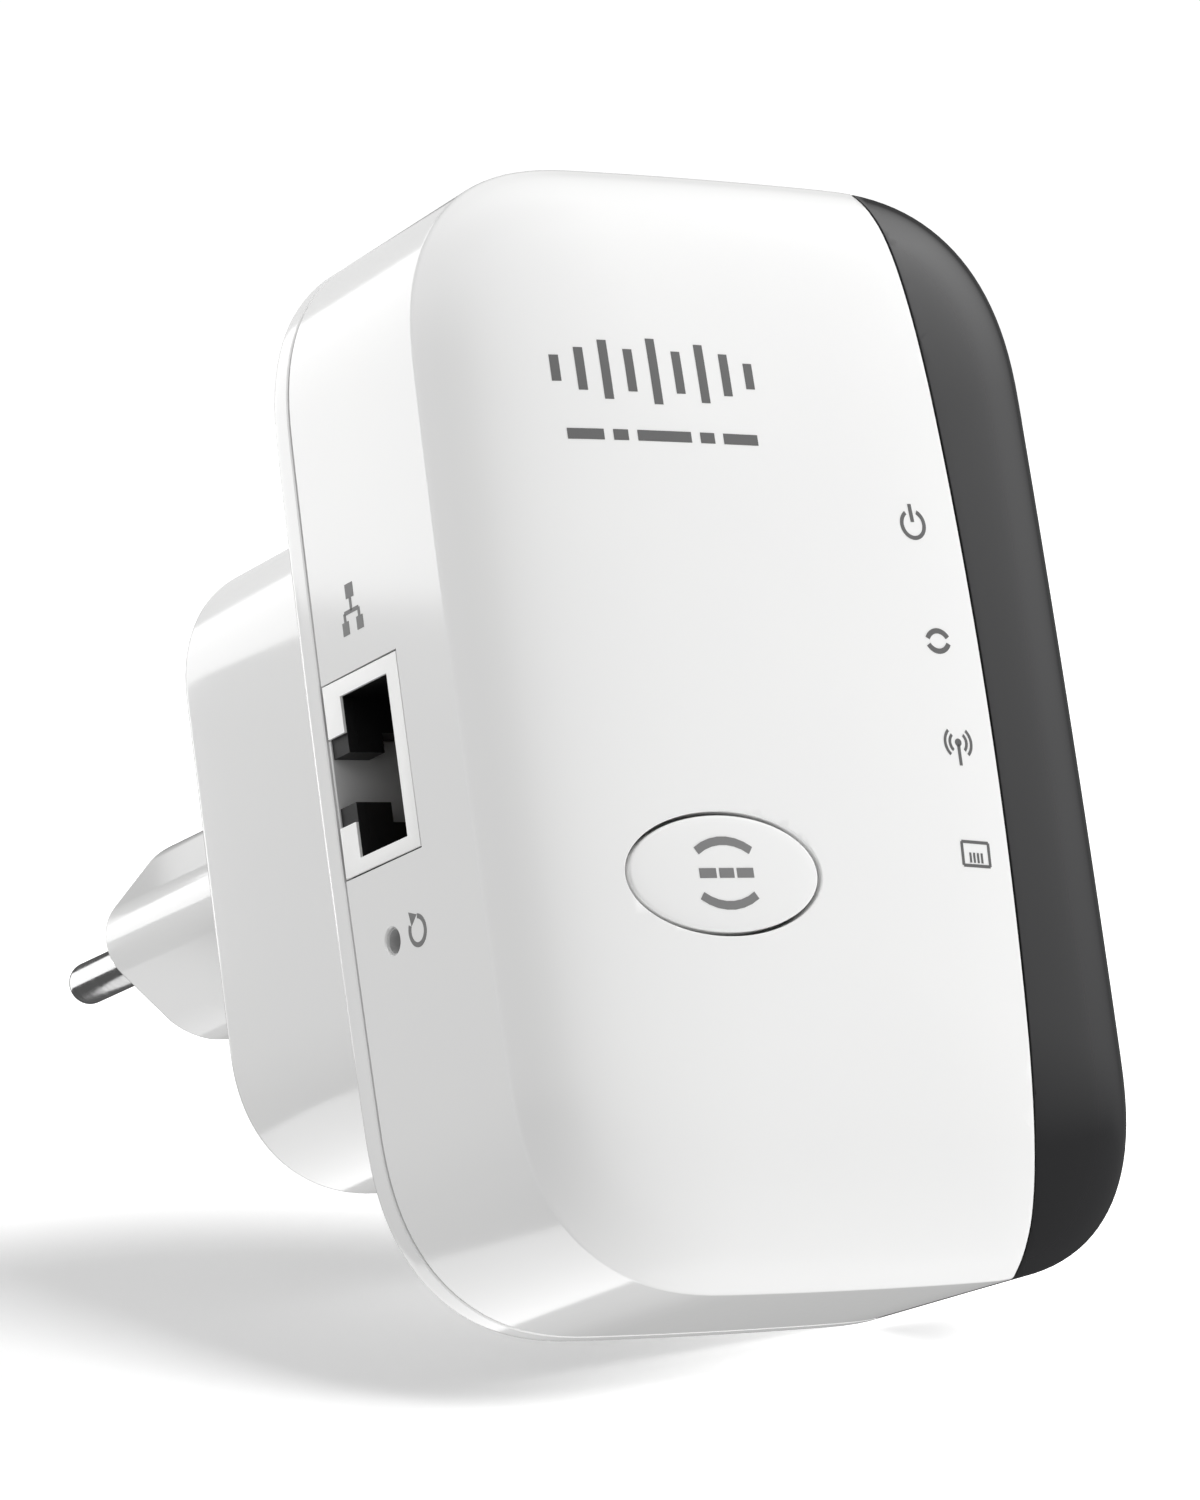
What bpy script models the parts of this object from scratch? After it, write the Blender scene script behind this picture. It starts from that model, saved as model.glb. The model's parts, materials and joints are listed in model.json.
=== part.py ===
"""Wall-plug Wi-Fi range extender, built as separate named pieces.

Layout figures are in millimetres from the front edge plane (the crisp edge where the domed
face meets the side walls): x to the right seen from the front, y towards the wall, z up.
The object's own frame starts at the middle of the plug's end face, between the two pins.
"""
from math import cos, pi, sin

import bmesh
import bpy
from mathutils import Matrix, Vector

MM = 0.001

# ---- body
HALF_W = 30.18            # half width at the corners' ends, before the sides' slight bow
HALF_H = 46.2
CORNER_R = 18.0
CORNER_POWER = 2.6        # 2 is a circle, more is squarer
BOW = 0.0215              # how far the straight sides bulge
WALL = 2.0
SEAM_Y = 19.8             # front cover ends here
REAR_Y = 22.8             # back of the rear cover's band
SEAM_GAP = 0.3
DOME = [(0.08, 0.0), (0.35, 0.3), (1.2, 1.15), (2.4, 2.0), (4.2, 2.85), (7.0, 3.55),
        (11.0, 4.05), (16.0, 4.35)]            # (inset from the edge, height)
DOME_INSIDE = [(2.0, -1.0), (2.6, -0.6), (3.6, 0.25), (5.0, 0.95), (7.6, 1.6),
               (11.3, 2.07), (16.2, 2.36)]
TRIM_X = 18.8             # white to dark boundary at mid height
TRIM_SAG = 3.0            # how far the boundary comes in at top and bottom
TRIM_GAP = 0.2

# ---- plug block, nose and pins
BOSS_Y = 54.0
BOSS_HALF = (23.2, 28.3)
BOSS_R = 13.0
PLUG_FACE_Y = 82.2
PLUG_Z = 0.9
NOSE_HALF = (19.4, 9.4)   # nose point before rounding, half height
NOSE_POINT_R = 4.4
NOSE_EDGE_R = 2.9
PIN_X = 9.5
PIN_R = 2.0
PIN_LENGTH = 19.0

# ---- controls
BUTTON = (-10.5, -13.7)   # centre of the oval push button
BUTTON_HALF = (9.05, 4.8)
BUTTON_GAP = 0.3
RESET = (14.0, -14.8)     # y, z of the pinhole
RESET_R = 1.12

# ---- network jack, in the left wall
JACK_FACE_X = -30.75
JACK_Y = (8.0, 19.5)
JACK_Z = (-8.4, 7.66)
MOUTH_Y = (9.7, 16.95)
MOUTH_Z = (-7.19, 6.27)
LATCH_Z = (-4.21, 3.26)
STOP_Z = (-2.55, 1.6)
JACK_MID_Z = -0.47

# ---- boards
BOARD_Y = (6.3, 7.9)
SCREW_XZ = [(-21.0, 34.0), (12.0, 34.0), (-21.0, -34.0), (12.0, -34.0)]
LAMP_X = 20.6
LAMP_Z = {"lamp_power": 16.0, "lamp_link": 6.2, "lamp_radio": -2.9, "lamp_network": -12.0}
POWER_BOARD_Y = (29.0, 30.6)
POST_XZ = [(-14.0, 19.5), (14.0, 19.5), (-14.0, -19.5), (14.0, -19.5)]


# ------------------------------------------------------------------ scene and helpers
for old in list(bpy.data.objects):
    bpy.data.objects.remove(old, do_unlink=True)
scene = bpy.context.scene
parts = bpy.data.collections.new("wifi_range_extender")
cutters = bpy.data.collections.new("cutters")
scene.collection.children.link(parts)
scene.collection.children.link(cutters)


def at(x, y, z):
    """Layout millimetres to the object's frame in metres."""
    return Vector((x, y - PLUG_FACE_Y, z - PLUG_Z)) * MM


def material(name, colour, rough, metal=0.0, alpha=1.0):
    mat = bpy.data.materials.new(name)
    mat.use_nodes = True
    shader = mat.node_tree.nodes["Principled BSDF"]
    shader.inputs["Base Color"].default_value = (*colour, 1.0)
    shader.inputs["Roughness"].default_value = rough
    shader.inputs["Metallic"].default_value = metal
    shader.inputs["Alpha"].default_value = alpha
    return mat


WHITE = material("white_abs", (0.86, 0.86, 0.86), 0.25)
WHITE_FLAT = material("white_nylon", (0.84, 0.84, 0.83), 0.5)
CHARCOAL = material("charcoal_acrylic", (0.05, 0.05, 0.05), 0.2)
NICKEL = material("nickel_plate", (0.78, 0.77, 0.75), 0.2, 1.0)
GOLD = material("gold_plate", (0.85, 0.62, 0.28), 0.3, 1.0)
BLACK = material("black_nylon", (0.02, 0.02, 0.02), 0.5)
BOARD_GREEN = material("board_laminate", (0.03, 0.16, 0.07), 0.45)
BOARD_TAN = material("board_phenolic", (0.42, 0.28, 0.12), 0.6)
TIN = material("tinned_steel", (0.7, 0.71, 0.72), 0.35, 1.0)
STEEL = material("zinc_steel", (0.62, 0.63, 0.65), 0.35, 1.0)
CHIP = material("chip_epoxy", (0.03, 0.03, 0.035), 0.6)
CLEAR = material("clear_polycarbonate", (0.9, 0.92, 0.92), 0.1)
LAMP = material("lamp_resin", (0.9, 0.88, 0.7), 0.3)
FERRITE = material("ferrite", (0.08, 0.08, 0.085), 0.7)
TAPE = material("coil_tape", (0.75, 0.62, 0.12), 0.5)
SLEEVE = material("capacitor_sleeve", (0.05, 0.07, 0.2), 0.4)
FUSE_BODY = material("fuse_ceramic", (0.35, 0.5, 0.55), 0.6)
WIRE_BROWN = material("wire_brown", (0.2, 0.08, 0.04), 0.5)
WIRE_BLUE = material("wire_blue", (0.04, 0.12, 0.4), 0.5)
WIRE_GREY = material("wire_grey", (0.35, 0.35, 0.35), 0.5)


def make(name, bm, mat=None, origin=None, smooth=False):
    """Turn a bmesh into a named object; no material makes it a cutter."""
    bmesh.ops.recalc_face_normals(bm, faces=bm.faces)
    mesh = bpy.data.meshes.new(name)
    if origin is not None:
        bmesh.ops.translate(bm, verts=bm.verts, vec=-origin)
    bm.to_mesh(mesh)
    bm.free()
    obj = bpy.data.objects.new(name, mesh)
    if origin is not None:
        obj.location = origin
    if mat is None:
        cutters.objects.link(obj)
        obj.hide_render = True
        obj.display_type = "WIRE"
        return obj
    parts.objects.link(obj)
    mesh.materials.append(mat)
    if smooth:
        mesh.shade_smooth()
        mesh.set_sharp_from_angle(angle=pi / 5)
    return obj


def loft(rings, closed=False):
    """Skin a list of point rings; the ends are capped, or joined when closed."""
    bm = bmesh.new()
    loops = [[bm.verts.new(p) for p in ring] for ring in rings]
    pairs = list(zip(loops, loops[1:]))
    if closed:
        pairs.append((loops[-1], loops[0]))
    for a, b in pairs:
        n = len(a)
        for i in range(n):
            j = (i + 1) % n
            bm.faces.new((a[i], a[j], b[j], b[i]))
    if not closed:
        bm.faces.new(loops[0])
        bm.faces.new(loops[-1])
    return bm


def outline(half_w, half_h, radius, power=CORNER_POWER, bow=BOW):
    """Rounded rectangle with soft corners and slightly bulged sides, as (x, z) points."""
    steps, side_h, side_w = 9, 8, 5
    flat = []
    for cx, cz, turn, count in ((1, 1, 0.0, side_w), (-1, 1, 0.5 * pi, side_h),
                                (-1, -1, pi, side_w), (1, -1, 1.5 * pi, side_h)):
        mx = cx * (half_w - radius)
        mz = cz * (half_h - radius)
        for k in range(steps + 1):
            a = turn + 0.5 * pi * k / steps
            c = round(cos(a), 9)
            s = round(sin(a), 9)
            ex = radius * abs(c) ** (2 / power) * (1 if c >= 0 else -1)
            ez = radius * abs(s) ** (2 / power) * (1 if s >= 0 else -1)
            flat.append((mx + ex, mz + ez))
        nx = mx - 2 * mx if turn in (0.0, pi) else mx
        nz = mz if turn in (0.0, pi) else mz - 2 * mz
        px, pz = flat[-1]
        qx = nx if turn in (0.0, pi) else px
        qz = pz if turn in (0.0, pi) else nz
        for k in range(1, count):
            t = k / count
            flat.append((px + (qx - px) * t, pz + (qz - pz) * t))
    curved = []
    for x, z in flat:
        curved.append((x * (1 + bow * (1 - (z / half_h) ** 2)),
                       z * (1 + bow * (half_w / half_h) * (1 - (x / half_w) ** 2))))
    return curved


def body_ring(inset, y):
    radius = max(CORNER_R - 0.75 * inset, 5.0)
    return [at(x, y, z) for x, z in outline(HALF_W - inset, HALF_H - inset, radius)]


def boss_ring(inset, y):
    points = outline(BOSS_HALF[0] - inset, BOSS_HALF[1] - inset, BOSS_R - 0.8 * inset, 2.3, 0.0)
    return [at(x, y, z) for x, z in points]


def block(x, y, z, round_mm=0.0, segments=2):
    """A box from three (low, high) pairs, with its edges rounded."""
    bm = bmesh.new()
    bmesh.ops.create_cube(bm, size=1.0)
    low = at(x[0], y[0], z[0])
    high = at(x[1], y[1], z[1])
    bmesh.ops.scale(bm, vec=high - low, verts=bm.verts)
    bmesh.ops.translate(bm, vec=(low + high) / 2, verts=bm.verts)
    if round_mm:
        bmesh.ops.bevel(bm, geom=bm.edges[:], offset=round_mm * MM, segments=segments,
                        affect="EDGES", profile=0.5)
    return bm


def turn_to(bm, axis, origin):
    """Take a shape built about Z and point it along another axis from an origin."""
    spins = {"Z": Matrix.Identity(4), "X": Matrix.Rotation(pi / 2, 4, "Y"),
             "Y": Matrix.Rotation(-pi / 2, 4, "X")}
    bmesh.ops.transform(bm, matrix=Matrix.Translation(origin) @ spins[axis], verts=bm.verts)
    return bm


def turned(profile, axis, origin, steps=24):
    """Spin a (radius, along) profile in millimetres into a closed round piece."""
    bm = bmesh.new()
    verts = [bm.verts.new((r * MM, 0, t * MM)) for r, t in profile]
    edges = [bm.edges.new(pair) for pair in zip(verts, verts[1:])]
    bmesh.ops.spin(bm, geom=verts + edges, cent=(0, 0, 0), axis=(0, 0, 1), angle=2 * pi,
                   steps=steps, use_merge=True)
    bmesh.ops.remove_doubles(bm, verts=bm.verts, dist=0.002 * MM)
    return turn_to(bm, axis, origin)


def rod(radius, length, axis, origin, steps=24, chamfer=0.0):
    if chamfer:
        profile = [(0, 0), (radius - chamfer, 0), (radius, chamfer),
                   (radius, length - chamfer), (radius - chamfer, length), (0, length)]
    else:
        profile = [(0, 0), (radius, 0), (radius, length), (0, length)]
    return turned(profile, axis, origin, steps)


def tube(name, points, radius, mat):
    """A wire through points: a poly curve with a round bevel, stored as a mesh."""
    curve = bpy.data.curves.new(name + "_path", "CURVE")
    curve.dimensions = "3D"
    curve.bevel_depth = radius * MM
    curve.bevel_resolution = 1
    curve.use_fill_caps = True
    curve.resolution_u = 3
    spline = curve.splines.new("BEZIER")
    spline.bezier_points.add(len(points) - 1)
    for knot, p in zip(spline.bezier_points, points):
        knot.co = at(*p)
        knot.handle_left_type = "AUTO"
        knot.handle_right_type = "AUTO"
    path = bpy.data.objects.new(name + "_path", curve)
    cutters.objects.link(path)
    bm = bmesh.new()
    bpy.context.view_layer.update()
    depsgraph = bpy.context.evaluated_depsgraph_get()
    mesh = bpy.data.meshes.new_from_object(path.evaluated_get(depsgraph))
    bm.from_mesh(mesh)
    bmesh.ops.remove_doubles(bm, verts=bm.verts, dist=0.01 * MM)
    bpy.data.objects.remove(path, do_unlink=True)
    return make(name, bm, mat, smooth=True)


def strip(name, points, half_width, thick, mat):
    """A flat metal strip bent in the x-y plane, its width along z."""
    z_mid = points[0][2]
    bm = bmesh.new()
    side = []
    for i, (x, y, _) in enumerate(points):
        a = points[max(i - 1, 0)]
        b = points[min(i + 1, len(points) - 1)]
        run = Vector((b[0] - a[0], b[1] - a[1])).normalized()
        side.append((x, y, -run.y * thick / 2, run.x * thick / 2))
    top = [(x + nx, y + ny) for x, y, nx, ny in side]
    low = [(x - nx, y - ny) for x, y, nx, ny in reversed(side)]
    face = bm.faces.new([bm.verts.new(at(x, y, z_mid - half_width)) for x, y in top + low])
    grown = bmesh.ops.extrude_face_region(bm, geom=[face])
    moved = [v for v in grown["geom"] if isinstance(v, bmesh.types.BMVert)]
    bmesh.ops.translate(bm, vec=(0, 0, 2 * half_width * MM), verts=moved)
    return make(name, bm, mat)


def combine(target, other, operation):
    mod = target.modifiers.new(operation.lower() + "_" + other.name, "BOOLEAN")
    mod.object = other
    mod.operation = operation
    mod.solver = "EXACT"


def oval(half_x, half_z, y0, y1, steps=48):
    centre = BUTTON
    ring = [(centre[0] + half_x * cos(2 * pi * k / steps),
             centre[1] + half_z * sin(2 * pi * k / steps)) for k in range(steps)]
    return loft([[at(x, y0, z) for x, z in ring], [at(x, y1, z) for x, z in ring]])


def trim_region(shift):
    """Everything to the right of the curved white to dark boundary."""
    edge = []
    for k in range(25):
        z = -56.0 + 112.0 * k / 24
        edge.append((TRIM_X - TRIM_SAG * (z / HALF_H) ** 2 + shift, z))
    edge += [(48.0, 56.0), (48.0, -56.0)]
    return loft([[at(x, -9.0, z) for x, z in edge], [at(x, 29.0, z) for x, z in edge]])


def merge(first, *others):
    """Put several separate shapes in one bmesh."""
    for other in others:
        spare = bpy.data.meshes.new("spare")
        other.to_mesh(spare)
        other.free()
        first.from_mesh(spare)
        bpy.data.meshes.remove(spare)
    return first


# ------------------------------------------------------------------ front cover and trim
def shell_outside():
    rings = [body_ring(0.15, SEAM_Y), body_ring(0.0, 0.5)]
    rings += [body_ring(inset, -height) for inset, height in DOME]
    return loft(rings)


def shell_inside():
    rings = [body_ring(WALL, SEAM_Y + 4.0)]
    rings += [body_ring(inset, -height) for inset, height in DOME_INSIDE]
    return loft(rings)


inside = make("shell_inside", shell_inside())
dome_form = make("dome_form", shell_outside())

front_cover = make("front_cover", shell_outside(), WHITE, smooth=True)
combine(front_cover, inside, "DIFFERENCE")
posts = make("board_posts", merge(*[rod(2.6, 8.6, "Y", at(x, -2.6, z)) for x, z in SCREW_XZ]))
combine(front_cover, posts, "UNION")
pilots = make("board_pilots", merge(*[rod(1.05, 6.0, "Y", at(x, 0.5, z), 16)
                                      for x, z in SCREW_XZ]))
combine(front_cover, pilots, "DIFFERENCE")
combine(front_cover, make("trim_cut", trim_region(0.0)), "DIFFERENCE")
combine(front_cover, make("button_hole", oval(BUTTON_HALF[0] + BUTTON_GAP,
                                              BUTTON_HALF[1] + BUTTON_GAP, -9, 0)),
        "DIFFERENCE")
jack_notch = make("jack_notch", block((-36, -24), (JACK_Y[0] - 0.3, SEAM_Y + 4),
                                      (JACK_Z[0] - 0.3, JACK_Z[1] + 0.3)))
combine(front_cover, jack_notch, "DIFFERENCE")
reset_bore = make("reset_bore", rod(RESET_R, 12, "X", at(-36, *RESET)))
combine(front_cover, reset_bore, "DIFFERENCE")

side_trim = make("side_trim", shell_outside(), CHARCOAL, smooth=True)
combine(side_trim, inside, "DIFFERENCE")
combine(side_trim, make("trim_keep", trim_region(TRIM_GAP)), "INTERSECT")


# ------------------------------------------------------------------ rear cover
rear_y = SEAM_Y + SEAM_GAP
rear_cover = make("rear_cover", loft([
    body_ring(0.15, rear_y), body_ring(0.15, REAR_Y - 0.9), body_ring(0.45, REAR_Y - 0.3),
    body_ring(1.1, REAR_Y), boss_ring(0.0, REAR_Y), boss_ring(0.0, BOSS_Y - 1.0),
    boss_ring(0.35, BOSS_Y - 0.3), boss_ring(1.1, BOSS_Y)]), WHITE, smooth=True)
rear_inside = make("rear_inside", loft([
    body_ring(WALL + 0.3, rear_y - 2), body_ring(WALL + 0.3, REAR_Y - WALL),
    boss_ring(2.2, REAR_Y - WALL), boss_ring(2.2, BOSS_Y - 2.2)]))
combine(rear_cover, rear_inside, "DIFFERENCE")
lip = make("lip", loft([
    body_ring(WALL + 0.3, 17.4), body_ring(WALL + 0.3, 21.5),
    body_ring(WALL + 1.6, 21.5), body_ring(WALL + 1.6, 17.4)], closed=True))
combine(rear_cover, lip, "UNION")
lip_gap = make("lip_gap", block((-34, -20), (15, rear_y), (JACK_Z[0] - 1, JACK_Z[1] + 1)))
combine(rear_cover, lip_gap, "DIFFERENCE")
post_height = BOSS_Y - 1.2 - (POWER_BOARD_Y[1] + 0.3)
power_posts = make("power_posts", merge(*[
    rod(2.0, post_height, "Y", at(x, POWER_BOARD_Y[1] + 0.3, z)) for x, z in POST_XZ]))
combine(rear_cover, power_posts, "UNION")


def nose(grow, y0, y1, end_round=0.0):
    """The six-sided plug nose, along y."""
    a, b = NOSE_HALF[0] + grow, NOSE_HALF[1] + grow
    flat = [(a, 0), (a - b, b), (b - a, b), (-a, 0), (b - a, -b), (a - b, -b)]
    bm = loft([[at(x, y0, z + PLUG_Z) for x, z in flat],
               [at(x, y1, z + PLUG_Z) for x, z in flat]])
    along = [e for e in bm.edges if abs(e.verts[0].co.y - e.verts[1].co.y) > 1e-5]
    points = [e for e in along if abs(e.verts[0].co.x) > (a - 1) * MM]
    shoulders = [e for e in along if e not in points]
    bmesh.ops.bevel(bm, geom=points, offset=(NOSE_POINT_R + grow) * MM, segments=6,
                    affect="EDGES", profile=0.5)
    shoulders = [e for e in shoulders if e.is_valid]
    bmesh.ops.bevel(bm, geom=shoulders, offset=(NOSE_EDGE_R + 0.4 * grow) * MM, segments=4,
                    affect="EDGES", profile=0.5)
    if end_round:
        bm.normal_update()
        face_y = at(0, y1, 0).y
        rim = [e for e in bm.edges if all(abs(v.co.y - face_y) < 1e-6 for v in e.verts)]
        bmesh.ops.bevel(bm, geom=rim, offset=end_round * MM, segments=2, affect="EDGES",
                        profile=0.5)
    return bm


combine(rear_cover, make("nose_opening", nose(0.3, BOSS_Y - 8, BOSS_Y + 4)), "DIFFERENCE")

plug_housing = make("plug_housing", nose(0.0, 47.0, PLUG_FACE_Y, 0.7), WHITE, smooth=True)
flange = make("plug_flange", block((-20, 20), (47.0, BOSS_Y - 2.5), (-12.5, 14.3), 0.6))
combine(plug_housing, flange, "UNION")
combine(plug_housing, make("nose_hollow", nose(-2.2, 40.0, PLUG_FACE_Y - 3.0)), "DIFFERENCE")
collars = make("pin_collars", merge(*[rod(PIN_R + 0.95, 2.6, "Y",
                                          at(s * PIN_X, PLUG_FACE_Y - 2.0, PLUG_Z))
                                      for s in (-1, 1)]))
combine(plug_housing, collars, "UNION")
pin_bores = make("pin_bores", merge(*[rod(PIN_R + 0.3, 12, "Y",
                                          at(s * PIN_X, PLUG_FACE_Y - 6, PLUG_Z))
                                      for s in (-1, 1)]))
combine(plug_housing, pin_bores, "DIFFERENCE")

PIN_PROFILE = [(0, -10.0), (1.2, -10.0), (1.5, -9.7), (1.5, -6.4), (3.2, -6.4), (3.2, -3.4),
               (PIN_R, -3.4), (PIN_R, PIN_LENGTH - 1.7), (1.86, PIN_LENGTH - 1.0),
               (1.45, PIN_LENGTH - 0.38), (0.8, PIN_LENGTH - 0.06), (0, PIN_LENGTH)]
for side, sign in (("left", -1), ("right", 1)):
    make("pin_" + side, turned(PIN_PROFILE, "Y", at(sign * PIN_X, PLUG_FACE_Y, PLUG_Z), 32),
         NICKEL, smooth=True)


# ------------------------------------------------------------------ controls
bx, bz = BUTTON
button_axis = at(bx, 0.0, bz)
button_form = oval(*BUTTON_HALF, -9.0, -1.2)
wps_button = make("wps_button", button_form, WHITE, origin=button_axis, smooth=True)
combine(wps_button, dome_form, "INTERSECT")
skirt = make("button_skirt", oval(BUTTON_HALF[0] + 0.9, BUTTON_HALF[1] + 0.9, -1.6, -0.8))
combine(wps_button, skirt, "UNION")
stem = make("button_stem", rod(1.5, 3.0, "Y", at(bx, -1.2, bz)))
combine(wps_button, stem, "UNION")

wps_switch_body = make("wps_switch_body", block((bx - 3, bx + 3), (2.9, BOARD_Y[0] - 0.1),
                                                (bz - 3, bz + 3), 0.3, 1), BLACK)
combine(wps_switch_body, make("wps_well", rod(1.85, 2.6, "Y", at(bx, 2.4, bz))), "DIFFERENCE")
make("wps_switch_plunger", rod(1.7, 2.4, "Y", Vector(), chamfer=0.2), STEEL,
     smooth=True).location = at(bx, 1.9, bz)

ry, rz = RESET
reset_switch_body = make("reset_switch_body", block((-27.6, -22.6), (BOARD_Y[1] + 0.1, 16.4),
                                                    (rz - 3.5, rz + 3.5), 0.3, 1), BLACK)
combine(reset_switch_body, make("reset_well", rod(1.35, 2.6, "X", at(-28.1, ry, rz))),
        "DIFFERENCE")
make("reset_switch_plunger", rod(1.2, 2.2, "X", Vector(), chamfer=0.15), WHITE_FLAT,
     smooth=True).location = at(-28.3, ry, rz)


# ------------------------------------------------------------------ network jack
jack_bezel = make("jack_bezel", block((JACK_FACE_X, JACK_FACE_X + 1.0), JACK_Y, JACK_Z),
                  WHITE_FLAT)
combine(jack_bezel, make("bezel_mouth", block((-34, -25), MOUTH_Y, MOUTH_Z)), "DIFFERENCE")
combine(jack_bezel, make("bezel_latch", block((-34, -25), (MOUTH_Y[0] + 1, 24), LATCH_Z)),
        "DIFFERENCE")
jack_x = JACK_FACE_X + 1.2
jack_body = make("jack_body", block((jack_x, -9.5), (JACK_Y[0] + 0.2, JACK_Y[1] - 0.1),
                                    (JACK_Z[0] + 0.2, JACK_Z[1] - 0.2)), BLACK)
combine(jack_body, make("jack_mouth", block((-34, -15), MOUTH_Y, MOUTH_Z)), "DIFFERENCE")
combine(jack_body, make("jack_stop_gap", block((-34, -18), (MOUTH_Y[0] + 1, 24), STOP_Z)),
        "DIFFERENCE")
combine(jack_body, make("jack_latch_room", block((jack_x + 2.4, -17), (MOUTH_Y[0] + 1, 24),
                                                 LATCH_Z)), "DIFFERENCE")
for k in range(8):
    cz = JACK_MID_Z + (k - 3.5) * 1.02
    strip("jack_contact_%d" % (k + 1),
          [(-27.2, 10.1, cz), (-24.5, 10.2, cz), (-17.6, 12.4, cz), (-16.6, 12.2, cz)],
          0.2, 0.28, GOLD)


# ------------------------------------------------------------------ router board
main_board = make("main_board", loft([
    [at(x, y, z) for x, z in outline(HALF_W - 4.3, HALF_H - 4.3, CORNER_R - 3.4)]
    for y in BOARD_Y]), BOARD_GREEN)
board_holes = make("board_holes", merge(*[rod(1.3, 6, "Y", at(x, 4, z), 16)
                                          for x, z in SCREW_XZ]))
combine(main_board, board_holes, "DIFFERENCE")
SCREW = [(0, -6.4), (0.5, -6.4), (0.95, -5.6), (0.95, 0), (1.95, 0), (1.95, 0.7),
         (1.5, 1.25), (0.6, 1.5), (0, 1.5)]
for k, (x, z) in enumerate(SCREW_XZ):
    make("board_screw_%d" % (k + 1), turned(SCREW, "Y", at(x, BOARD_Y[1] + 0.05, z), 16),
         STEEL, smooth=True)

top = BOARD_Y[1] + 0.1
rf_shield = make("rf_shield", block((-6, 16), (top, top + 2.8), (8, 30), 0.3, 1), TIN)
combine(rf_shield, make("shield_hollow", block((-5.6, 15.6), (top - 2, top + 2.4),
                                               (8.4, 29.6))), "DIFFERENCE")
make("radio_chip", block((0, 10), (top, top + 0.95), (14, 24), 0.15, 1), CHIP)
make("memory_chip", block((8, 14), (top, top + 1.6), (-7, 0), 0.15, 1), CHIP)
make("clock_crystal", block((1.5, 4.7), (top, top + 0.8), (2.0, 4.5), 0.2, 1), TIN)
make("network_transformer", block((-8.2, -0.9), (top, top + 5.4), (-15.2, -2.4), 0.3, 1), CHIP)
make("voltage_inductor", block((8.5, 13.5), (top, top + 3.0), (-17, -12), 0.8, 2), FERRITE)
for name, z in LAMP_Z.items():
    make(name, block((LAMP_X - 1.0, LAMP_X + 1.0), (BOARD_Y[0] - 1.0, BOARD_Y[0] - 0.1),
                     (z - 0.6, z + 0.6), 0.15, 1), LAMP)
light_guide = make("light_guide", block((LAMP_X - 1.2, LAMP_X + 1.2), (0.9, 2.3),
                                        (-14.5, 18.5), 0.3, 1), CLEAR)
guide_pegs = make("guide_pegs", merge(*[rod(1.0, 3.2, "Y", at(LAMP_X, 1.6, z), 16)
                                        for z in LAMP_Z.values()]))
combine(light_guide, guide_pegs, "UNION")

for side, x0, x1, leg in (("left", -18.5, -3.0, -18.3), ("right", 0.5, 17.5, 17.3)):
    antenna = make("antenna_" + side, block((x0, x1), (13.6, 14.0), (31.5, 39.5)), TIN)
    foot = make("antenna_foot_" + side, block((leg - 0.2, leg + 0.2), (top, 13.8),
                                              (32.5, 36.0)))
    combine(antenna, foot, "UNION")
tube("antenna_lead_left", [(-7.2, 8.9, 24.0), (-9.5, 9.0, 26.5), (-11.0, 9.8, 31.0),
                           (-12.0, 12.4, 34.0)], 0.55, BLACK)
tube("antenna_lead_right", [(4.0, 12.2, 26.0), (6.0, 12.0, 29.0), (7.5, 11.5, 31.5),
                            (8.0, 12.4, 35.0)], 0.55, BLACK)


# ------------------------------------------------------------------ power board
power_board = make("power_board", loft([
    [at(x, y, z) for x, z in outline(18.6, 23.8, 9.0, 2.0, 0.0)] for y in POWER_BOARD_Y]),
    BOARD_TAN)
deck = POWER_BOARD_Y[1] + 0.1
core = make("transformer_core", block((-9, 9), (deck + 0.8, deck + 14.8), (-1, 7), 0.3, 1),
            FERRITE)
combine(core, make("core_window", block((-6, 6), (deck + 3.4, deck + 12.2), (-4, 10))),
        "DIFFERENCE")
make("transformer_coil", block((-5.7, 5.7), (deck + 3.7, deck + 11.9), (-5.5, 11.5), 1.6, 3),
     TAPE, smooth=True)
make("bulk_capacitor", rod(5.0, 15.5, "Y", at(-12.3, deck, -11.5), 28, 0.6), SLEEVE,
     smooth=True)
make("output_capacitor", rod(4.0, 12.0, "Y", at(12.6, deck, -11.0), 24, 0.5), SLEEVE,
     smooth=True)
make("bridge_rectifier", block((-14.5, -9.5), (deck, deck + 2.6), (10, 14.8), 0.2, 1), CHIP)
make("fuse_resistor", rod(1.6, 9.0, "X", at(-4.5, deck + 1.8, 18.0), 16, 0.5), FUSE_BODY,
     smooth=True)
make("line_choke", turned([(0, 0), (3.6, 0), (3.6, 1.0), (2.6, 1.6), (2.6, 5.4), (3.6, 6.0),
                           (3.6, 7.0), (0, 7.0)], "Y", at(12.4, deck, 11.5), 24), FERRITE,
     smooth=True)
make("power_chip", block((-2.6, 2.6), (deck, deck + 1.7), (-16, -9.6), 0.15, 1), CHIP)

for side, sign, mat in (("live", -1, WIRE_BROWN), ("neutral", 1, WIRE_BLUE)):
    tube("wire_" + side, [(sign * 9.5, 71.9, PLUG_Z), (sign * 9.5, 62.0, PLUG_Z),
                          (sign * 10.0, 53.0, 1.2), (sign * 12.0, 45.5, 1.8),
                          (sign * 15.8, 37.5, 3.6), (sign * 16.2, deck, 4.6)], 0.9, mat)

ribbon_path = [(28.8, -20.6), (26.0, -20.6), (18.0, -22.6), (11.0, -22.6), (8.1, -22.6)]
make("board_link", loft([[at(x, y, z + dz) for x, dz in ((3, -0.4), (10, -0.4), (10, 0.4),
                                                         (3, 0.4))]
                         for y, z in ribbon_path]), WIRE_GREY)
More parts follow.
